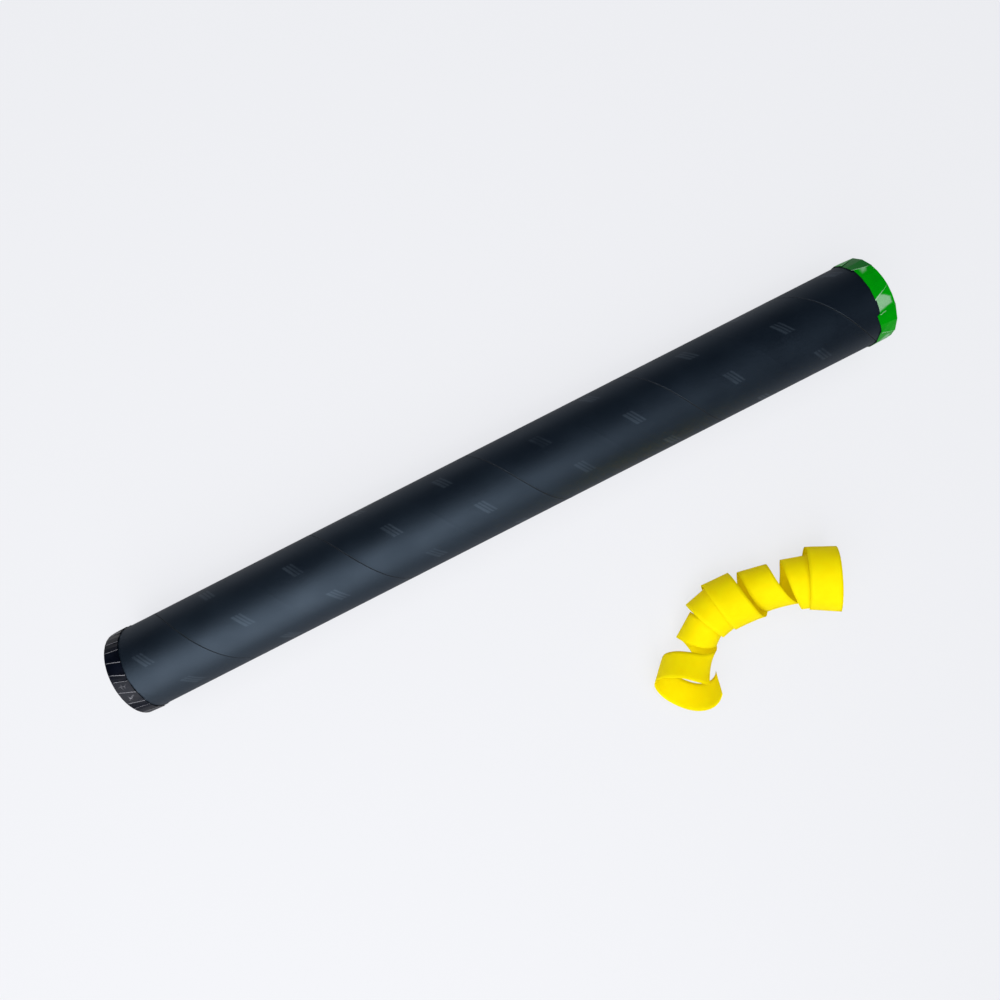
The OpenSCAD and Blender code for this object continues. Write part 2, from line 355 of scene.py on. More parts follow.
class Finish:
    """Base of the finishes: a material with one Principled shader."""

    name: str

    def start(self, **constants: object) -> tuple[bpy.types.Material, Tree, bpy.types.Node]:
        """Makes the material.

        Args:
            constants: Values set on the shader's own sockets, spaces in their names as underscores.

        Returns:
            The material, its tree and its shader.
        """
        material = bpy.data.materials.new(self.name)
        material.use_nodes = True
        tree = Tree(material.node_tree)
        shader = material.node_tree.nodes["Principled BSDF"]
        for label, value in constants.items():
            shader.inputs[label.replace("_", " ")].default_value = value
        return material, tree, shader

    @staticmethod
    def group(tree: Tree, make: Callable[[], bpy.types.NodeTree], **inputs: object) -> bpy.types.Node:
        """Places a group in a material.

        Args:
            tree: The material's tree.
            make: What builds the group on first use, and then shares it.
            inputs: What the group's inputs take.

        Returns:
            The group's node.
        """
        node = tree.add("ShaderNodeGroup", node_tree=make())
        for label, value in inputs.items():
            tree.feed(node.inputs[label], value)
        return node

    def fibres(self, tree: Tree, shader: bpy.types.Node, where: Wire, sizes: tuple[float, float],
               colours: tuple[Colour, Colour], roughness: float, depth: float) -> None:
        """Gives a shader the look of matted fibres.

        Args:
            tree: The material's tree.
            shader: Its shader.
            where: The coordinates that the fibres follow.
            sizes: Scales of the fibres and of the clouds in them.
            colours: The darker and the lighter colour.
            roughness: The middle roughness.
            depth: The fibres' height.
        """
        paper = self.group(tree, paper_group, Vector=where, Fibre=sizes[0], Cloud=sizes[1])
        shade = tree.out(paper, "Shade")
        tree.feed(shader.inputs["Base Color"], tree.mix(shade.smooth(0.3, 0.7), *colours))
        tree.feed(shader.inputs["Roughness"], (roughness + (shade - 0.5) * 0.2).clamped())
        self.bump(tree, shader, tree.out(paper, "Height"), depth)

    @staticmethod
    def bump(tree: Tree, shader: bpy.types.Node, height: Wire, depth: float, strength: float = 1.0) -> None:
        """Feeds a height to the shader's normal."""
        node = tree.add("ShaderNodeBump", {"Height": height, "Distance": depth, "Strength": strength})
        tree.feed(shader.inputs["Normal"], node.outputs["Normal"])

    @staticmethod
    def blend(tree: Tree, share: Wire | float, first: bpy.types.Node, second: bpy.types.Node) -> None:
        """Ends the material in a share of the second shader and the rest of the first."""
        both = tree.add("ShaderNodeMixShader", {0: share, 1: first.outputs[0], 2: second.outputs[0]})
        tree.feed(tree.tree.nodes["Material Output"].inputs["Surface"], both.outputs[0])


def place(tree: Tree) -> Wire:
    """The piece's own coordinates, in metres."""
    return tree.out(tree.add("ShaderNodeTexCoord"), "Object")


@dataclass(frozen=True)
class WrapFinish(Finish):
    """Black satin paper with fine fibres, faint generic tone-on-tone bars and pale cut edges."""

    name: str = "wrap_satin_paper"
    dark: Colour = (0.0006, 0.0022, 0.0055, 1)
    light: Colour = (0.0022, 0.0050, 0.0095, 1)
    printed: Colour = (0.0240, 0.0330, 0.0440, 1)
    core: Colour = (0.030, 0.034, 0.040, 1)
    gloss_tint: Colour = (0.57, 0.76, 1.0, 1)
    roughness: float = 0.54
    fibre: float = 5200.0
    cloud: float = 45.0
    print_share: float = 0.7
    edge_w: float = 0.35 * MM
    ply_place: float = 0.52
    ply_w: float = 1.6 * MM
    relief: float = 0.06 * MM

    def make(self) -> bpy.types.Material:
        """Builds the material. Its pattern follows the strip's own map: along it, and across it, in metres.

        Returns:
            The material.
        """
        material, tree, shader = self.start(Specular_IOR_Level=1.0, Specular_Tint=self.gloss_tint)
        along, across, _ = tree.split(tree.out(tree.add("ShaderNodeUVMap", uv_map="strip")))
        where = place(tree)
        paper = self.group(tree, paper_group, Vector=where, Fibre=self.fibre, Cloud=self.cloud)
        shade = tree.out(paper, "Shade")
        bars = self.bars(along, across)
        colour = tree.mix(shade.smooth(0.35, 0.7), self.dark, self.light)
        colour = tree.mix(bars * shade.smooth(0.25, 0.6) * self.print_share, colour, self.printed)
        cut_edge = SIZES.seam_w / 2
        edge = across.near(cut_edge, self.edge_w) + across.near(SIZES.lead - cut_edge, self.edge_w)
        wear_and_highlight_mask = self.group(tree, wear_and_highlight_group, Vector=where, Edge=edge.clamped(), Amount=0.35)
        tree.feed(shader.inputs["Base Color"], tree.mix(tree.out(wear_and_highlight_mask, "Mask"), colour, self.core))
        tree.feed(shader.inputs["Roughness"], (self.roughness + (shade - 0.5) * 0.4 - bars * 0.05).clamped())
        # The seam of the ply under the wrap shows through as a low ridge near the middle of the strip
        ply = across.near(SIZES.lead * self.ply_place, self.ply_w) * 0.6
        self.bump(tree, shader, tree.out(paper, "Height") * 0.45 + ply + bars * 0.15, self.relief)
        return material

    @staticmethod
    def bars(along: Wire, across: Wire) -> Wire:
        """Groups of three short bars, one of them thicker, repeated along the strip in two rows.

        Args:
            along: Place along the strip.
            across: Place across it.

        Returns:
            The bars' mask.
        """
        pitch, length, gap, end_soft, side_soft = 26 * MM, 9 * MM, 2.3 * MM, 0.3 * MM, 0.25 * MM
        total = None
        for row, shift in ((30 * MM, 0.0), (76 * MM, 13 * MM)):
            step = ((along + shift) / pitch).of("FRACT") * pitch
            inside = 1 - (step - pitch / 2).of("ABSOLUTE").smooth(length / 2 - end_soft, length / 2)
            for k, half in ((-1, 0.8 * MM), (0, 0.5 * MM), (1, 0.5 * MM)):
                line = 1 - (across - (row + k * gap)).of("ABSOLUTE").smooth(half, half + side_soft)
                total = line * inside if total is None else total + line * inside
        return total.clamped()


@dataclass(frozen=True)
class BoardFinish(Finish):
    """Wound board, with fibres that run along the tube."""

    name: str
    dark: Colour
    light: Colour
    roughness: float = 0.85
    scales: tuple[float, float] = (2600.0, 180.0)
    stretch: float = 0.25
    relief: float = 0.05 * MM

    def make(self) -> bpy.types.Material:
        """Builds the material.

        Returns:
            The material.
        """
        material, tree, shader = self.start(Specular_IOR_Level=0.25)
        x, y, z = tree.split(place(tree))
        drawn = tree.joined(x * self.stretch, y, z)
        self.fibres(tree, shader, drawn, self.scales, (self.dark, self.light), self.roughness, self.relief)
        return material


@dataclass(frozen=True)
class TapeFinish(Finish):
    """Clear adhesive band with a milky haze and small trapped bubbles."""

    name: str = "tape_band"
    tone: Colour = (0.66, 0.66, 0.60, 1)
    haze: Colour = (0.82, 0.82, 0.78, 1)
    roughness: float = 0.35
    haze_scale: float = 260.0
    bubble_scale: float = 900.0
    relief: float = 0.03 * MM

    def make(self) -> bpy.types.Material:
        """Builds the material.

        Returns:
            The material.
        """
        material, tree, shader = self.start(Coat_Weight=0.3, Coat_Roughness=0.2)
        where = place(tree)
        cloud = tree.noise(where, self.haze_scale)
        cells = tree.add("ShaderNodeTexVoronoi", {"Vector": where, "Scale": self.bubble_scale})
        bubble = 1 - tree.out(cells).smooth(0.08, 0.16)
        tree.feed(shader.inputs["Base Color"], tree.mix((cloud * 0.8 + bubble * 0.4).clamped(), self.tone, self.haze))
        tree.feed(shader.inputs["Roughness"], self.roughness + cloud * 0.2)
        self.bump(tree, shader, bubble, self.relief)
        return material


@dataclass(frozen=True)
class FilmFinish(Finish):
    """Thin metallised film: lacquer over aluminium, creased where it is folded, with pale fold edges that are partly
    wear and partly painted highlight.
    """

    name: str
    deep: Colour
    bright: Colour
    wear_and_highlight_colour: Colour
    shaded: Colour
    metallic: float
    roughness: float
    wear_and_highlight_amount: float
    gloss: float
    gloss_tint: Colour
    coat: float
    netted: float
    crease_scale: float = 420.0
    cloud_scale: float = 120.0
    relief: float = 0.05 * MM

    def make(self) -> bpy.types.Material:
        """Builds the material.

        The piece's crease attribute is 1 on a fold's edge. Its other attribute paints light: above 0 it gives a pale
        painted highlight on a facet, and below 0 painted shade on a whole flap.

        Returns:
            The material.
        """
        material, tree, shader = self.start(Metallic=self.metallic, Specular_IOR_Level=self.gloss,
                                            Specular_Tint=self.gloss_tint, Coat_Weight=self.coat, Coat_Roughness=0.1)
        where = place(tree)
        crumple = self.group(tree, crumple_group, Vector=where, Scale=self.crease_scale)
        cloud = tree.noise(where, self.cloud_scale)
        edge, painted_light = (tree.out(tree.add("ShaderNodeAttribute", attribute_name=label), "Fac")
                       for label in ("crease", "painted_light"))
        # Pale fold edges: partly wear, partly painted highlights where the folds catch the light
        wear_and_highlight_mask = self.group(tree, wear_and_highlight_group, Vector=where, Edge=edge, Amount=self.wear_and_highlight_amount)
        net = 1 - self.netted * (1 - tree.out(crumple, "Crease"))
        # Painted highlights: pale patches on single facets, netted by the creases on the black film
        highlight_patch = (painted_light + (cloud - 0.5) * 0.3).smooth(0.2, 0.5) * net * 0.8
        mask = (tree.out(wear_and_highlight_mask, "Mask") + highlight_patch).clamped()
        colour = tree.mix(cloud.smooth(0.35, 0.65), self.deep, self.bright)
        # Painted shade: where the mask of painted light is below 0, the flap takes the shaded colour
        colour = tree.mix((painted_light * -1.0).clamped(), colour, self.shaded)
        # Worn edges, painted edge highlights and painted highlight patches all take the pale colour
        tree.feed(shader.inputs["Base Color"], tree.mix(mask, colour, self.wear_and_highlight_colour))
        tree.feed(shader.inputs["Roughness"], (self.roughness + (cloud - 0.5) * 0.12 + mask * 0.2).clamped())
        self.bump(tree, shader, tree.out(crumple, "Height"), self.relief, 0.5)
        return material


@dataclass(frozen=True)
class FoamFinish(Finish):
    """Closed-cell foam with small pores."""

    name: str = "wad_foam"
    dark: Colour = (0.045, 0.047, 0.052, 1)
    light: Colour = (0.11, 0.115, 0.125, 1)
    roughness: float = 0.75
    pore_scale: float = 1400.0
    relief: float = 0.15 * MM

    def make(self) -> bpy.types.Material:
        """Builds the material.

        Returns:
            The material.
        """
        material, tree, shader = self.start(Specular_IOR_Level=0.3)
        where = place(tree)
        cells = tree.add("ShaderNodeTexVoronoi", {"Vector": where, "Scale": self.pore_scale})
        pore = tree.out(cells).smooth(0.1, 0.5)
        tree.feed(shader.inputs["Base Color"], tree.mix(pore, self.dark, self.light))
        tree.feed(shader.inputs["Roughness"], self.roughness + pore * 0.2)
        self.bump(tree, shader, pore, self.relief)
        return material


@dataclass(frozen=True)
class StreamerFinish(Finish):
    """Thin dyed tissue-weight paper that lets light through."""

    name: str = "streamer_tissue"
    deep: Colour = (1.0, 0.87, 0.0, 1)
    bright: Colour = (1.0, 0.93, 0.002, 1)
    through: Colour = (1.0, 0.84, 0.0, 1)
    through_share: float = 0.35
    roughness: float = 0.72
    scales: tuple[float, float] = (3200.0, 220.0)
    relief: float = 0.04 * MM

    def make(self) -> bpy.types.Material:
        """Builds the material.

        Returns:
            The material.
        """
        material, tree, shader = self.start(Specular_IOR_Level=0.08)
        self.fibres(tree, shader, place(tree), self.scales, (self.deep, self.bright), self.roughness, self.relief)
        passed = tree.add("ShaderNodeBsdfTranslucent", {"Color": self.through})
        self.blend(tree, self.through_share, shader, passed)
        return material


@dataclass(frozen=True)
class FloorFinish(Finish):
    """A plain pale floor, which the camera and glossy pieces see evenly lit, with soft shadows on it."""

    name: str = "pale_floor"
    seen: Colour = PALE
    lit: Colour = (0.80, 0.805, 0.83, 1)
    even_share: float = 0.84
    gloss_level: float = 0.35
    middle_x: float = 0.25
    shadow_r: float = 0.4
    far_r: float = 1.5

    def make(self) -> bpy.types.Material:
        """Builds the material.

        Returns:
            The material.
        """
        material, tree, shader = self.start(Roughness=0.9, Specular_IOR_Level=0.1)
        shader.inputs["Base Color"].default_value = self.lit
        path = tree.add("ShaderNodeLightPath")
        glossy = tree.out(path, "Is Glossy Ray")
        seen = (tree.out(path, "Is Camera Ray") + tree.out(path, "Is Transmission Ray") + glossy).clamped()
        glow = tree.add("ShaderNodeEmission", {"Color": self.seen, "Strength": 1 - glossy * (1 - self.gloss_level)})
        # Far from the sleeve the floor has the surround's tone, so no horizon shows
        x, y, _ = tree.split(place(tree))
        away = (((x - self.middle_x) ** 2 + y ** 2) ** 0.5).smooth(self.shadow_r, self.far_r)
        even = seen * (self.even_share + away * (1 - self.even_share))
        self.blend(tree, even, shader, glow)
        return material


# ---------------------------------------------------------------- meshes


def linked(name: str, data: bpy.types.ID) -> bpy.types.Object:
    """A new object at the origin, linked to the scene.

    Args:
        name: Its name.
        data: Its mesh, lamp or camera.

    Returns:
        The object.
    """
    item = bpy.data.objects.new(name, data)
    bpy.context.scene.collection.objects.link(item)
    return item


def mesh_object(name: str, points: Sequence[Point], faces: Sequence[Sequence[int]]) -> bpy.types.Object:
    """Makes a mesh object at the origin.

    Args:
        name: The piece's name.
        points: Its points, in metres.
        faces: Its faces, as indices of points.

    Returns:
        The new object.
    """
    mesh = bpy.data.meshes.new(name)
    mesh.from_pydata(points, [], faces)
    return linked(name, mesh)


@contextmanager
def edited(piece: bpy.types.Object) -> Iterator[bmesh.types.BMesh]:
    """Opens a piece's mesh for editing, and writes it back.

    Args:
        piece: The piece.

    Yields:
        The mesh.
    """
    shape = bmesh.new()
    shape.from_mesh(piece.data)
    yield shape
    shape.to_mesh(piece.data)
    shape.free()


def clean(piece: bpy.types.Object, merge: float = MERGE) -> None:
    """Merges doubled points, removes empty faces and turns the faces outward.

    Args:
        piece: The piece.
        merge: How near two points are merged, in metres.
    """
    with edited(piece) as shape:
        bmesh.ops.remove_doubles(shape, verts=shape.verts, dist=merge)
        bmesh.ops.dissolve_degenerate(shape, edges=shape.edges, dist=merge)
        bmesh.ops.recalc_face_normals(shape, faces=shape.faces)


def set_smooth(piece: bpy.types.Object, smooth: bool) -> None:
    """Shades a piece smooth or flat."""
    piece.data.polygons.foreach_set("use_smooth", [smooth] * len(piece.data.polygons))


def apply_modifiers(piece: bpy.types.Object) -> None:
    """Puts a piece's modifiers into its mesh and removes them.

    Args:
        piece: The piece.
    """
    graph = bpy.context.evaluated_depsgraph_get()
    mesh = bpy.data.meshes.new_from_object(piece.evaluated_get(graph), preserve_all_data_layers=True, depsgraph=graph)
    piece.modifiers.clear()
    old = piece.data
    piece.data = mesh
    bpy.data.meshes.remove(old)
    mesh.name = piece.name


def thicken(piece: bpy.types.Object, depth: float) -> None:
    """Gives a sheet a wall on its inner side.

    Args:
        piece: The sheet.
        depth: The wall's depth.
    """
    wall = piece.modifiers.new("wall", "SOLIDIFY")
    wall.thickness = depth
    wall.offset = -1
    apply_modifiers(piece)


def finish_piece(piece: bpy.types.Object, body: Body, slot: Slot, *nodes: str) -> None:
    """Rides a piece on its body and hides the solids that it stands for.

    Args:
        piece: The piece.
        body: Its body.
        slot: Its slot; not used.
        nodes: The solids that it stands for.
    """
    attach(piece, body.value)
    if nodes:
        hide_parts(*nodes)
    LOG.info("%s: %d faces on %s", piece.name, len(piece.data.polygons), body.value)


class ShapeTree(Tree):
    """A Geometry Nodes tree with named inputs for a piece's sizes."""

    def __init__(self, name: str, inputs: dict[str, object]) -> None:
        """Starts the tree.

        Args:
            name: The tree's name.
            inputs: The named inputs: a number, a whole number or a material.
        """
        group = bpy.data.node_groups.new(name, "GeometryNodeTree")
        super().__init__(group)
        self.given = inputs
        kinds = {int: "NodeSocketInt", float: "NodeSocketFloat", bpy.types.Material: "NodeSocketMaterial"}
        for label, value in inputs.items():
            group.interface.new_socket(label, in_out="INPUT", socket_type=kinds[type(value)])
        group.interface.new_socket("Geometry", in_out="OUTPUT", socket_type="NodeSocketGeometry")
        self.entry = self.add("NodeGroupInput")
        self.end = self.add("NodeGroupOutput")

    def value(self, label: str) -> Wire:
        """A named input, as a Wire."""
        return self.out(self.entry, label)

    def grid(self, columns: str, rows: str) -> tuple[bpy.types.NodeSocket, Wire, Wire]:
        """A flat grid one metre wide.

        Args:
            columns: The input that counts its points along.
            rows: The input that counts them across.

        Returns:
            The grid, and a point's place along and across it.
        """
        node = self.add("GeometryNodeMeshGrid", {"Size X": 1.0, "Size Y": 1.0, "Vertices X": self.value(columns),
                                                 "Vertices Y": self.value(rows)})
        east, north, _ = self.split(self.out(self.add("GeometryNodeInputPosition")))
        return node.outputs["Mesh"], east, north

    def close(self, geometry: bpy.types.NodeSocket) -> None:
        """Ends the tree in Realize Instances and Set Material.

        Args:
            geometry: What the tree has built.
        """
        real = self.add("GeometryNodeRealizeInstances", {"Geometry": geometry})
        dressed = self.add("GeometryNodeSetMaterial",
                           {"Geometry": real.outputs[0], "Material": self.value("Material")})
        self.feed(self.end.inputs["Geometry"], dressed.outputs[0])

    def piece(self, name: str, merge: float = MERGE) -> bpy.types.Object:
        """Runs the tree on an empty mesh and keeps the result as a plain mesh.

        Args:
            name: The piece's name.
            merge: How near two points are merged, in metres.

        Returns:
            The piece.
        """
        piece = linked(name, bpy.data.meshes.new(name))
        modifier = piece.modifiers.new("shape", "NODES")
        modifier.node_group = self.tree
        for item in self.tree.interface.items_tree:
            if item.item_type == "SOCKET" and item.in_out == "INPUT":
                modifier[item.identifier] = self.given[item.name]
        apply_modifiers(piece)
        clean(piece, merge)
        return piece


# ---------------------------------------------------------------- the tube


@dataclass
class WoundTube:
    """The wrap, wound on a slant with a butt seam, and the materials of the plies inside it."""

    sizes: TubeSizes = SIZES
    steps_a_turn: int = 120
    rows: int = 34
    spare_turns: float = 1.1
    edge_lift: float = 0.05 * MM
    edge_w: float = 1.2 * MM
    under_gap: float = 0.06 * MM

    def wrap(self) -> bpy.types.Object:
        """Winds the printed wrap: a strip that climbs along the tube by its own width at each turn.

        Returns:
            The wrap.
        """
        s = self.sizes
        turns = s.tube_l / s.lead + 2 * self.spare_turns
        tree = ShapeTree("wound_strip", {
            "Start": s.start_x, "End": s.end_x, "Radius": s.tube_r, "Lead": s.lead, "Seam Gap": s.seam_w,
            "Seam Place": s.seam_x, "Edge Lift": self.edge_lift, "Edge Width": self.edge_w,
            "Turns": turns, "Steps": int(self.steps_a_turn * turns), "Rows": self.rows,
            "Material": WrapFinish().make()})
        grid, east, north = tree.grid("Steps", "Rows")
        lead, gap = tree.value("Lead"), tree.value("Seam Gap")
        start = (tree.value("Start") - tree.value("Seam Place")) / lead - self.spare_turns
        turn = start + (east + 0.5) * tree.value("Turns")
        # Rows crowd towards the strip's two edges, where it lifts a little
        share = 0.5 + (north * math.pi).of("SINE") * 0.5
        across = gap / 2 + share * (lead - gap)
        free_x = tree.value("Seam Place") + turn * lead + across
        x = free_x.clamped(tree.value("Start"), tree.value("End"))
        kept = across + (x - free_x)
        near = (1 - (kept - gap / 2).of("MINIMUM", lead - gap / 2 - kept) / tree.value("Edge Width")).clamped()
        r = tree.value("Radius") - tree.value("Edge Lift") + near * near * tree.value("Edge Lift")
        angle = turn * FULL_TURN
        where = tree.joined(x, r * angle.of("SINE") * -1.0, r * angle.of("COSINE"))
        # The strip's own map is worked out on the flat grid, before it is wound
        flat = tree.joined(angle * tree.value("Radius"), kept, 0.0)
        mapped = tree.add("GeometryNodeStoreNamedAttribute", {"Geometry": grid, "Name": "strip", "Value": flat},
                          data_type="FLOAT2", domain="CORNER")
        moved = tree.add("GeometryNodeSetPosition", {"Geometry": mapped.outputs[0], "Position": where})
        shaded = tree.add("GeometryNodeSetShadeSmooth", {"Geometry": moved.outputs[0]})
        tree.close(shaded.outputs[0])
        piece = tree.piece("wound_wrap")
        self.face_outward(piece)
        thicken(piece, s.wrap_t - self.under_gap)
        return piece

    @staticmethod
    def face_outward(piece: bpy.types.Object) -> None:
        """Turns an open strip's faces away from the tube's axis.

        Args:
            piece: The strip.
        """
        with edited(piece) as shape:
            lean = sum(f.normal.yz.dot(f.calc_center_median().yz) for f in shape.faces)
            if lean < 0:
                bmesh.ops.reverse_faces(shape, faces=shape.faces)

    def dress_plies(self) -> None:
        """Gives the solids inside the wrap their materials."""
        dyed = BoardFinish("dyed_board", (0.008, 0.010, 0.012, 1), (0.022, 0.026, 0.031, 1))
        kraft = BoardFinish("kraft_board", (0.23, 0.135, 0.07, 1), (0.42, 0.27, 0.15, 1))
        liner = BoardFinish("liner_paper", (0.50, 0.44, 0.34, 1), (0.66, 0.60, 0.49, 1), 0.6)
        for node, finish in (("board_ply_outer", dyed), ("board_ply_inner", kraft), ("tube_liner", liner)):
            dress(node, finish.make())
        tape = TapeFinish().make()
        dress("gas_foil_tape", tape)
        dress("muzzle_foil_tape", tape)

    def build(self) -> None:
        """Makes the wrap and dresses the rest of the tube."""
        finish_piece(self.wrap(), Body.SLEEVE, Slot.WRAP, "outer_wrap")
        self.dress_plies()


def dress(node: str, material: bpy.types.Material) -> None:
    """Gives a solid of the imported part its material.

    Args:
        node: Its name.
        material: Its material.
    """
    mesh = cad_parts[node].data
    mesh.materials.clear()
    mesh.materials.append(material)
    LOG.info("%s: dressed in %s", node, material.name)


# ---------------------------------------------------------------- the films


@dataclass
class FoldedFilm:
    """Film over one end of the tube: a taut face, a rounded rim and a skirt of flaps folded one over the next.

    Each flap runs forward to its edge, turns back under itself and comes forward again as the next flap.
    """

    name: str
    node: str
    slot: Slot
    finish: FilmFinish
    skirt_l: float
    first_turn: float
    folds: Sequence[float]
    lengths: Sequence[tuple[float, float]]
    slants: Sequence[float]
    rise: float
    mirrored: bool
    seed: int
    under_share: float
    facets: int
    crumple: float
    edge_share: float
    rim_crease: float
    # Painted highlights on single facets, keyed by flap, facet and row
    painted_highlights: dict[tuple[int, int, int], float]
    # Painted shade on whole flaps, as values below 0
    painted_flap_shade: dict[int, float]
    wall: float = 0.05 * MM
    dip: float = 0.15 * MM
    clear: float = 0.07 * MM
    wide_share: float = 1.25
    rows: Sequence[float] = (0.0, 0.45, 1.0)
    hem_wave: tuple[float, float] = (0.012, 2.3)
    rim_angles: Sequence[float] = (90, 55, 25)
    rim_wear_and_highlight: float = 0.25
    middle_dip: float = 0.035 * MM
    merge: float = 2e-6
    face_rings: Sequence[float] = (0.0, 0.25, 0.45, 0.62, 0.76, 0.87, 0.95)
    sizes: TubeSizes = SIZES

    def fold_points(self, k: int, row: int, down: float, rolls: Sequence[Sequence[float]]) -> list[tuple[float, ...]]:
        """Points of one flap on one row.

        Args:
            k: The flap's number.
            row: The row's number, from the rim.
            down: How far down the skirt the row lies, from 0 at the rim to 1.
            rolls: Random numbers for the flap's facets.

        Returns:
            Rows of turn in degrees, radius, length share, crease mask and a mask of painted highlight and painted
            shade.
        """
        s = self.sizes
        start, width, total = sum(self.folds[:k]), self.folds[k], sum(self.folds)
        following = self.slants[(k + 1) % len(self.folds)]
        fold = self.rise * down
        under = self.under_share * min(1.0, 2 * down)
        # A wide flap has one more facet, and its corners stand out so far that the facets clear the tape
        facets = self.facets + (width + following - self.slants[k] > self.wide_share)
        open_w = width + (following - self.slants[k]) * down
        corner = (s.skirt_in_r + self.clear) / math.cos(math.pi * open_w / total / facets)
        rows = []
        # The flap's flat facets, then its turned edge, then the way back under it
        for i in range(facets):
            along = i / facets
            jitter = (rolls[k][i] - 0.5) * 2 * self.crumple * down * (1.0 if i else 0.0)
            # The listed facets carry a painted highlight
            rows.append((along, corner + fold * along + jitter, 0.0, self.painted_highlights.get((k, i, row), 0.0)))
        before = 1 - 1.6 * self.edge_share
        for along, lift, crease in ((before, before, 0.0), (1 - self.edge_share, 1.0, 1.0), (1.0, 1.0, 1.0),
                                    (0.995, 0.8, 1.0), (1 - under * 0.5, 0.4, 0.0), (1 - under, 0.1, 0.0)):
            rows.append((along, corner + fold * lift, crease, 0.0))
        points = []
        for along, r, crease, painted_light in rows:
            shift = (self.slants[k] * (1 - along) + following * along) * down
            turn = self.first_turn + 360 * (start + width * along + shift) / total
            length = self.lengths[k][0] * (1 - along) + self.lengths[k][1] * along
            crease *= self.rim_crease + (1 - self.rim_crease) * down
            # A flap's painted shade goes into every one of its points
            points.append((turn, r, length, crease, painted_light + self.painted_flap_shade.get(k, 0.0)))
        return points

    def mesh(self) -> bpy.types.Object:
        """Builds the film as one sheet from the middle of its face to the skirt's free edge.

        Returns:
            The sheet.
        """
        s = self.sizes
        draw = random.Random(self.seed)
        rolls = [[draw.random() for _ in range(self.facets + 1)] for _ in self.folds]
        rim_r = 2 * s.film_t
        rings, masks = [], []
        base = [p for k in range(len(self.folds)) for p in self.fold_points(k, 0, 0.0, rolls)]
        pull = [draw.random() for _ in base]
        for share in self.face_rings[1:]:
            # The film dips a little between the creases that run in from the rim
            dip = self.dip * math.sin(math.pi * share) ** 0.5 if share < 0.9 else 0.2 * self.dip
            rings.append([(dip * (0.3 + pull[i] * share ** 2), t, (s.fold_r - rim_r) * share)
                          for i, (t, *_) in enumerate(base)])
            masks.append([(0.0, 0.0)] * len(base))
        for angle in self.rim_angles:
            a = math.radians(angle)
            rings.append([(rim_r * (1 - math.sin(a)), t, r - rim_r * (1 - math.cos(a))) for t, r, *_ in base])
            # The rim gets a faint pale line, partly wear and partly painted highlight
            masks.append([(self.rim_wear_and_highlight, 0.0)] * len(base))
        for number, down in enumerate(self.rows):
            row = [p for k in range(len(self.folds)) for p in self.fold_points(k, number, max(down, 0.02), rolls)]
            wave = [1 + self.hem_wave[0] * math.sin(i * self.hem_wave[1]) for i in range(len(row))]
            rings.append([(rim_r + (self.skirt_l * p[2] * w - rim_r) * down, p[0], p[1]) for p, w in zip(row, wave)])
            masks.append([p[3:] for p in row])
        points, marks = [(self.middle_dip, 0.0, 0.0)], [(0.0, 0.0)]
        for ring, values in zip(rings, masks):
            for (x, turn, r), value in zip(ring, values):
                a = math.radians(turn)
                points.append((x, -r * math.sin(a), max(s.rest_z, r * math.cos(a))))
                marks.append(value)
        count = len(base)
        faces = [(0, 1 + i, 1 + (i + 1) % count) for i in range(count)]
        for j in range(len(rings) - 1):
            for i in range(count):
                a, b = 1 + j * count + i, 1 + j * count + (i + 1) % count
                faces.append((a, b, b + count, a + count) if (i + j) % 2 else (b, b + count, a + count, a))
        if self.mirrored:
            points = [(s.muzzle_x - x, y, z) for x, y, z in points]
            faces = [tuple(reversed(f)) for f in faces]
        piece = mesh_object(self.name, points, faces)
        for label, values in zip(("crease", "painted_light"), zip(*marks)):
            piece.data.attributes.new(label, "FLOAT", "POINT").data.foreach_set("value", values)
        piece.data.materials.append(self.finish.make())
        return piece

    def build(self) -> None:
        """Makes the film with its wall and puts it on the sleeve."""
        piece = self.mesh()
        middle = Vector((self.sizes.muzzle_x if self.mirrored else 0.0, 0, 0))
        outward = Vector((1.0 if self.mirrored else -1.0, 0, 0))
        with edited(piece) as shape:
            bmesh.ops.remove_doubles(shape, verts=shape.verts, dist=self.merge)
            bmesh.ops.dissolve_degenerate(shape, edges=shape.edges, dist=self.merge / 2)
            bmesh.ops.triangulate(shape, faces=shape.faces)
            cap = min(shape.faces, key=lambda f: (f.calc_center_median() - middle).length)
            bmesh.ops.recalc_face_normals(shape, faces=shape.faces)
            if cap.normal.dot(outward) < 0:
                bmesh.ops.reverse_faces(shape, faces=shape.faces)
        set_smooth(piece, smooth=False)
        thicken(piece, self.wall)
        finish_piece(piece, Body.SLEEVE, self.slot, self.node)


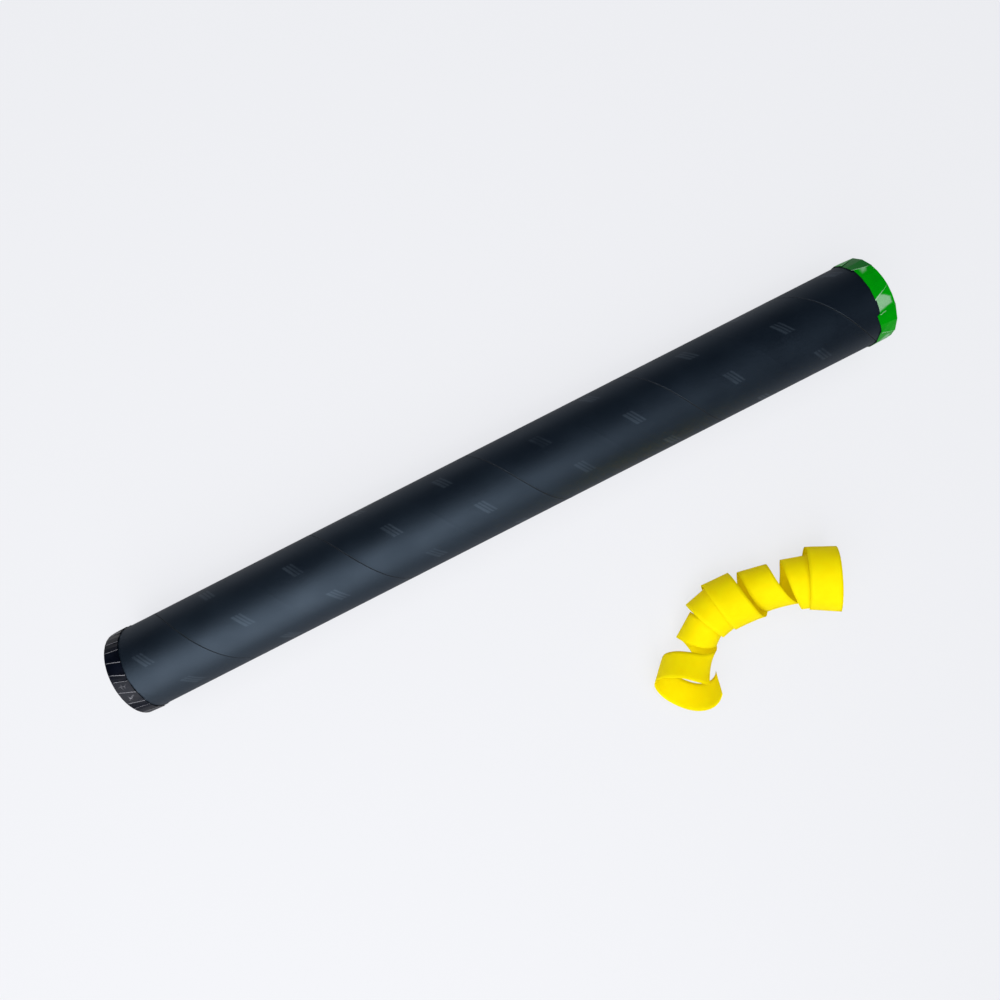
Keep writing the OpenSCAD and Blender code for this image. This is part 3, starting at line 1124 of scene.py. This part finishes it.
def green_film() -> FoldedFilm:
    """The green film over the muzzle, in about ten wide flaps.

    Returns:
        The film.
    """
    finish = FilmFinish("green_film", (0.0, 0.40, 0.004, 1), (0.0, 0.46, 0.003, 1), (0.50, 0.80, 0.54, 1),
                        (0.0, 0.10, 0.016, 1), metallic=0.4, roughness=0.2, wear_and_highlight_amount=0.7, gloss=0.5,
                        gloss_tint=(0.08, 0.6, 0.14, 1), coat=0.15, netted=0.2)
    return FoldedFilm(
        "green_muzzle_film", "muzzle_foil", Slot.GREEN_FILM, finish, 10.6 * MM, -75,
        [1.03, 0.92, 0.72, 1.19, 1.06, 0.94, 1.14, 0.92, 1.08, 1.0],
        [(1.04, 1.02), (0.93, 1), (0.92, 0.98), (1.13, 0.92), (1, 1.04), (0.95, 0.99), (1.06, 0.97), (0.94, 1),
         (1.05, 0.98), (0.97, 1.03)],
        [0.28, -0.2, 0.32, 0.15, -0.25, 0.3, 0.2, -0.15, 0.3, 0.22],
        rise=0.28 * MM, mirrored=True, seed=11, under_share=0.12, facets=2, crumple=0.12 * MM, edge_share=0.022,
        # The listed facets get pale painted highlights
        rim_crease=0.5, painted_highlights={(2, 0, 2): 1.0, (2, 1, 1): 1.0, (2, 1, 2): 0.8, (1, 0, 1): 0.5, (4, 1, 1): 0.8,
                                # The first flap gets painted shade
                                (4, 2, 1): 0.8, (9, 0, 1): 0.7, (9, 1, 1): 0.8}, painted_flap_shade={0: -0.85})


def black_film() -> FoldedFilm:
    """The black film over the gas end, gathered in fine uneven pleats.

    Returns:
        The film.
    """
    finish = FilmFinish("black_film", (0.0008, 0.0014, 0.0045, 1), (0.002, 0.003, 0.008, 1), (0.26, 0.26, 0.29, 1),
                        (0.0004, 0.0008, 0.002, 1), metallic=0.0, roughness=0.3, wear_and_highlight_amount=0.55, gloss=0.25,
                        gloss_tint=(0.9, 0.92, 1.0, 1), coat=0.0, netted=1.0)
    count = 24

    def wave(amount: float, step: float, k: int, start: float = 0.0) -> float:
        """An uneven rule for the pleats, by their number."""
        return amount * math.sin(math.radians(step * k + start))

    return FoldedFilm(
        "black_gas_film", "gas_foil", Slot.BLACK_FILM, finish, 9.2 * MM, 0,
        [1 + wave(0.28, 137, k) + wave(0.12, 61, k) for k in range(count)],
        [(1 + wave(0.035, 101, k), 1 + wave(0.035, 71, k, 40)) for k in range(count)],
        [0.4 + wave(0.17, 83, k) for k in range(count)],
        rise=0.45 * MM, mirrored=False, seed=5, under_share=0.3, facets=2, crumple=0.09 * MM, edge_share=0.03,
        # Painted highlights on four of the pleats
        rim_crease=0.85, painted_highlights={(k, 1, 1): 0.55 for k in (0, 1, 5, 13)}, painted_flap_shade={})


# ---------------------------------------------------------------- the payload


@dataclass
class Payload:
    """What the tube holds: wad, discs and twenty wound rolls."""

    roll_r: float = 23.4 * MM
    roll_in_r: float = 16.267 * MM
    width: float = 18 * MM
    first_x: float = 17.45 * MM
    rolls: int = 20
    windings: int = 7
    groove: float = 0.12 * MM
    around: int = 48
    across: int = 16

    def wound_rolls(self) -> bpy.types.Object:
        """Winds one roll by rule and repeats it along the tube, each turned by its own amount.

        Returns:
            The rolls, as one piece.
        """
        tree = ShapeTree("wound_rolls", {
            "Outer Radius": self.roll_r, "Inner Radius": self.roll_in_r, "Width": self.width, "Groove": self.groove,
            "Windings": self.windings, "Around": self.around + 1, "Across": 4 * self.across + 1,
            "Rolls": self.rolls, "First Place": self.first_x, "Seed": 7,
            "Material": StreamerFinish("roll_paper").make()})
        grid, east, north = tree.grid("Around", "Across")
        side = (north + 0.5) * 4.0
        turn = east + 0.5
        # The section goes along the outside, down one face, back along the inside and up the other face
        run = [(side - k).clamped() for k in range(4)]
        wall = tree.value("Outer Radius") - tree.value("Inner Radius")
        depth = run[1] - run[3]
        spiral = (depth * tree.value("Windings") + turn).of("FRACT")
        notch = ((spiral - 0.5).of("ABSOLUTE") * 2.0) ** 4.0 * tree.value("Groove")
        # The windings show on the two faces alone, and fade out towards their edges
        on_a, on_b = (run[1] * (1 - run[1]) * 8.0).clamped(), (run[3] * (1 - run[3]) * 8.0).clamped()
        x = (run[0] - run[2]) * (tree.value("Width") - 2 * self.groove) + self.groove - notch * on_a + notch * on_b
        r = tree.value("Outer Radius") - depth * wall
        angle = turn * FULL_TURN
        where = tree.joined(x, r * angle.of("SINE"), r * angle.of("COSINE"))
        roll = tree.add("GeometryNodeSetPosition", {"Geometry": grid, "Position": where})
        sewn = tree.add("GeometryNodeMergeByDistance", {"Geometry": roll.outputs[0], "Distance": 1e-6})
        line = tree.add("GeometryNodeMeshLine", {"Count": tree.value("Rolls"),
                                                 "Start Location": tree.joined(tree.value("First Place"), 0.0, 0.0),
                                                 "Offset": tree.joined(tree.value("Width"), 0.0, 0.0)})
        spin = tree.add("FunctionNodeRandomValue", {"Seed": tree.value("Seed")}, data_type="FLOAT")
        turned = tree.joined(tree.out(spin, 1) * FULL_TURN, 0.0, 0.0)
        many = tree.add("GeometryNodeInstanceOnPoints", {"Points": line.outputs[0], "Instance": sewn.outputs[0],
                                                         "Rotation": turned})
        shaded = tree.add("GeometryNodeSetShadeSmooth", {"Geometry": many.outputs[0]})
        tree.close(shaded.outputs[0])
        return tree.piece("streamer_rolls", 1e-8)

    def build(self) -> None:
        """Makes the rolls and dresses the wad and the discs."""
        nodes = [f"streamer_roll_{k:02d}" for k in range(1, self.rolls + 1)]
        finish_piece(self.wound_rolls(), Body.PAYLOAD, Slot.STREAMER, *nodes)
        dress("foam_wad", FoamFinish().make())
        grey = BoardFinish("greyboard", (0.30, 0.28, 0.25, 1), (0.44, 0.42, 0.38, 1))
        dress("pusher_disc", grey.make())
        dress("cover_disc", grey.make())


# ---------------------------------------------------------------- the spent streamer


def at(rows: Sequence[Sequence[float] | float], u: float) -> list[float]:
    """Value of a table between two of its rows, on a smooth curve through them.

    Args:
        rows: The table, with one number or several in each row.
        u: Where it is read, in rows.

    Returns:
        The numbers at that place.
    """
    last = len(rows) - 1
    k = max(0, min(last - 1, math.floor(u)))
    f = u - k
    four = [rows[max(0, k - 1)], rows[k], rows[k + 1], rows[min(last, k + 2)]]
    four = [[v] if isinstance(v, (int, float)) else v for v in four]
    return [b + (c - a) * f / 2 + (2 * a - 5 * b + 4 * c - d) * f ** 2 / 2 + (3 * b - a - 3 * c + d) * f ** 3 / 2
            for a, b, c, d in zip(*four)]


@dataclass
class SpentStreamer:
    """One paper ribbon in a loose telescoped curl, on the same rule as the part's source, in finer steps."""

    width: float = 18 * MM
    paper_t: float = 0.14 * MM
    curl_d: float = 31 * MM
    x: float = 402 * MM
    y: float = -141 * MM
    first: float = -0.2
    last: float = 6.8
    steps: int = 72
    across: int = 8
    lag_share: float = 0.8
    lag_place: float = 0.25
    places: Sequence[tuple[float, float]] = ((-0.06, 0.03), (-0.58, 0.16), (-1.95, 0.58), (-3.18, 0.68),
                                             (-3.78, 0.64), (-4.42, 0.25), (-5.62, -0.78), (-6.1, -0.72))
    heads: Sequence[float] = (153, 166, 172, 181, 197, 219, 225, 226)
    radii: Sequence[float] = (1.3, 1.06, 0.85, 1.07, 0.96, 0.76, 0.84, 1.65)
    heights: Sequence[float] = (1.34, 1.17, 1.17, 1.17, 1.04, 0.88, 1.2, 1.72)
    flares: Sequence[float] = (2, 0, -1, -2, -3, -4, -5, -10)
    rises: Sequence[float] = (-16, -18, -14, -8, -8, -8, 28, 64)
    ripple: float = 0.12 * MM
    ripples: Sequence[tuple[float, float, float, float]] = ((1.0, 31.0, 1.7, 0.0), (0.6, 47.0, -2.3, 1.0))
    near_turn: float = 1 / 90
    fine_steps: int = 2000

    def lag(self, u: float) -> float:
        """How many turns the axis has moved on: most of a turn's advance falls on its inner side."""
        wave = math.sin(FULL_TURN * (u - self.lag_place)) + math.sin(FULL_TURN * self.lag_place)
        return u - self.lag_share * wave / FULL_TURN

    def axis(self, u: float) -> Vector:
        """Direction of the curl's axis."""
        a, b = math.radians(at(self.heads, self.lag(u))[0]), math.radians(at(self.rises, self.lag(u))[0])
        return Vector((math.cos(a) * math.cos(b), math.sin(a) * math.cos(b), math.sin(b)))

    def out(self, u: float) -> Vector:
        """Direction from the axis to the ribbon.

        Args:
            u: Place along the ribbon, in turns.

        Returns:
            The direction, of length 1.
        """
        axis = self.axis(u)
        side = Vector((0, 0, 1)).cross(axis).normalized()
        return math.cos(FULL_TURN * u) * axis.cross(side) - math.sin(FULL_TURN * u) * side

    def point(self, u: float) -> Vector:
        """Middle of the ribbon.

        Args:
            u: Place along the ribbon, in turns.

        Returns:
            The point.
        """
        p = at(self.places, self.lag(u))
        height = SIZES.rest_z + self.curl_d / 2 * at(self.heights, self.lag(u))[0]
        middle = Vector((self.x + p[0] * self.width, self.y + p[1] * self.width, height))
        return middle + self.curl_d / 2 * at(self.radii, u)[0] * self.out(u)

    def crossing(self, u: float) -> tuple[Vector, Vector]:
        """How the ribbon lies at one place.

        Args:
            u: Place along the ribbon, in turns.

        Returns:
            The direction across it, and the direction that its outside faces.
        """
        run = (self.point(u + self.near_turn) - self.point(u - self.near_turn)).normalized()
        axis = self.axis(u)
        flat = (axis - run * axis.dot(run)).normalized()
        face = run.cross(flat).normalized()
        if face.dot(self.out(u)) < 0:
            face = -face
        a = math.radians(at(self.flares, u)[0])
        return flat * math.cos(a) - face * math.sin(a), face * math.cos(a) + flat * math.sin(a)

    def turns(self, count: int) -> list[float]:
        """Places along the ribbon in turns, evenly spaced."""
        return [self.first + k * (self.last - self.first) / count for k in range(count + 1)]

    def length(self) -> float:
        """Length of the ribbon's middle line."""
        line = [self.point(u) for u in self.turns(self.fine_steps)]
        return sum((b - a).length for a, b in zip(line, line[1:]))

    def build(self) -> None:
        count = round((self.last - self.first) * self.steps)
        shares = [i / self.across * 2 - 1 for i in range(self.across + 1)]
        points: list[Point] = []
        for u in self.turns(count):
            p, (flat, face) = self.point(u), self.crossing(u)
            loop = []
            for side, row in ((-1, shares), (1, reversed(shares))):
                for c in row:
                    wave = sum(size * math.sin(u * rate + lean * c + start) for size, rate, lean, start in self.ripples)
                    lift = self.ripple * wave * c * c + self.paper_t / 2 * side
                    q = p + flat * (c * self.width / 2) + face * lift
                    loop.append((q.x, q.y, max(SIZES.rest_z, q.z)))
            points += loop
        ring = 2 * (self.across + 1)
        faces = [tuple(range(ring)), tuple(range(count * ring, (count + 1) * ring))]
        for k in range(count):
            for i in range(ring):
                a, b = k * ring + i, k * ring + (i + 1) % ring
                faces.append((a, b, b + ring, a + ring))
        piece = mesh_object("spent_streamer", points, faces)
        clean(piece)
        set_smooth(piece, smooth=True)
        piece.data.materials.append(StreamerFinish().make())
        finish_piece(piece, Body.STREAMER, Slot.STREAMER, "loose_streamer")
        length = self.length()
        LOG.info("spent streamer is %.3f m long", length)


# ---------------------------------------------------------------- the studio


@dataclass
class Studio:
    """Pale floor, soft lamps and the camera, straight above the middle of the tube."""

    eye_h: float = 456 * MM
    roll_deg: float = -26.97
    lens: float = 27.0
    shift: tuple[float, float] = (-0.0004, -0.0144)
    floor_r: float = 6.0
    floor_corners: int = 64
    floor_gap: float = 0.02 * MM
    middle_x: float = 0.25
    surround: Colour = PALE
    light: Colour = (0.20, 0.205, 0.215, 1)
    mirrored: Colour = (0.035, 0.042, 0.052, 1)

    def floor(self) -> None:
        """A wide disc under the sleeve."""
        z = SIZES.rest_z - self.floor_gap
        angles = [FULL_TURN * k / self.floor_corners for k in range(self.floor_corners)]
        points = [(self.middle_x + self.floor_r * math.cos(a), self.floor_r * math.sin(a), z) for a in angles]
        disc = mesh_object("floor", points, [tuple(range(self.floor_corners))])
        disc.data.materials.append(FloorFinish().make())

    @staticmethod
    def lamp(name: str, place: Point, aim: Point, size: tuple[float, float], power: float, colour: Point,
             in_gloss: bool = True) -> None:
        """A softbox that faces a point.

        Args:
            name: Its name.
            place: Where it hangs.
            aim: The point that it faces.
            size: Its width and height.
            power: Its power, in watts.
            colour: Its colour.
            in_gloss: Whether glossy pieces mirror it.
        """
        light = bpy.data.lights.new(name, "AREA")
        light.shape = "RECTANGLE"
        light.size, light.size_y = size
        light.energy = power
        light.color = colour
        lamp = linked(name, light)
        lamp.location = place
        lamp.rotation_euler = (Vector(aim) - Vector(place)).to_track_quat("-Z", "Y").to_euler()
        lamp.visible_glossy = in_gloss

    def world(self) -> None:
        """A pale surround for the camera, a dim even one for the light and a darker one for gloss."""
        world = bpy.data.worlds.new("surround")
        bpy.context.scene.world = world
        world.use_nodes = True
        tree = Tree(world.node_tree)
        path = tree.add("ShaderNodeLightPath")
        back = world.node_tree.nodes["Background"]
        dim = tree.mix(tree.out(path, "Is Glossy Ray"), self.light, self.mirrored)
        tree.feed(back.inputs["Color"], tree.mix(tree.out(path, "Is Camera Ray"), dim, self.surround))
        back.inputs["Strength"].default_value = 1.0

    def camera(self) -> None:
        """The photograph's viewpoint."""
        data = bpy.data.cameras.new("camera")
        data.lens = self.lens
        data.sensor_width = 36
        data.shift_x, data.shift_y = self.shift
        data.clip_start, data.clip_end = 0.01, 50
        eye = linked("camera", data)
        eye.matrix_world = (Matrix.Translation((SIZES.muzzle_x / 2, 0, self.eye_h))
                            @ Matrix.Rotation(math.radians(self.roll_deg), 4, "Z"))
        bpy.context.scene.camera = eye

    def build(self) -> None:
        """Sets up the whole studio."""
        self.camera()
        self.floor()
        self.world()
        self.lamp("key_softbox", (-0.17, -0.42, 0.60), (0.08, 0, 0), (1.0, 1.1), 7.6, (1.0, 1.0, 1.0))
        self.lamp("top_fill", (0.25, 0.1, 1.6), (0.25, 0, 0), (1.6, 1.6), 18.5, (1.0, 0.995, 0.985), in_gloss=False)
        bpy.context.scene.view_settings.view_transform = "Standard"


def main() -> None:
    """Builds every part of the scene."""
    logging.basicConfig(level=logging.INFO, format="%(message)s")
    Studio().build()
    WoundTube().build()
    black_film().build()
    green_film().build()
    Payload().build()
    SpentStreamer().build()
    bpy.context.view_layer.update()


if __name__ == "__main__":
    main()
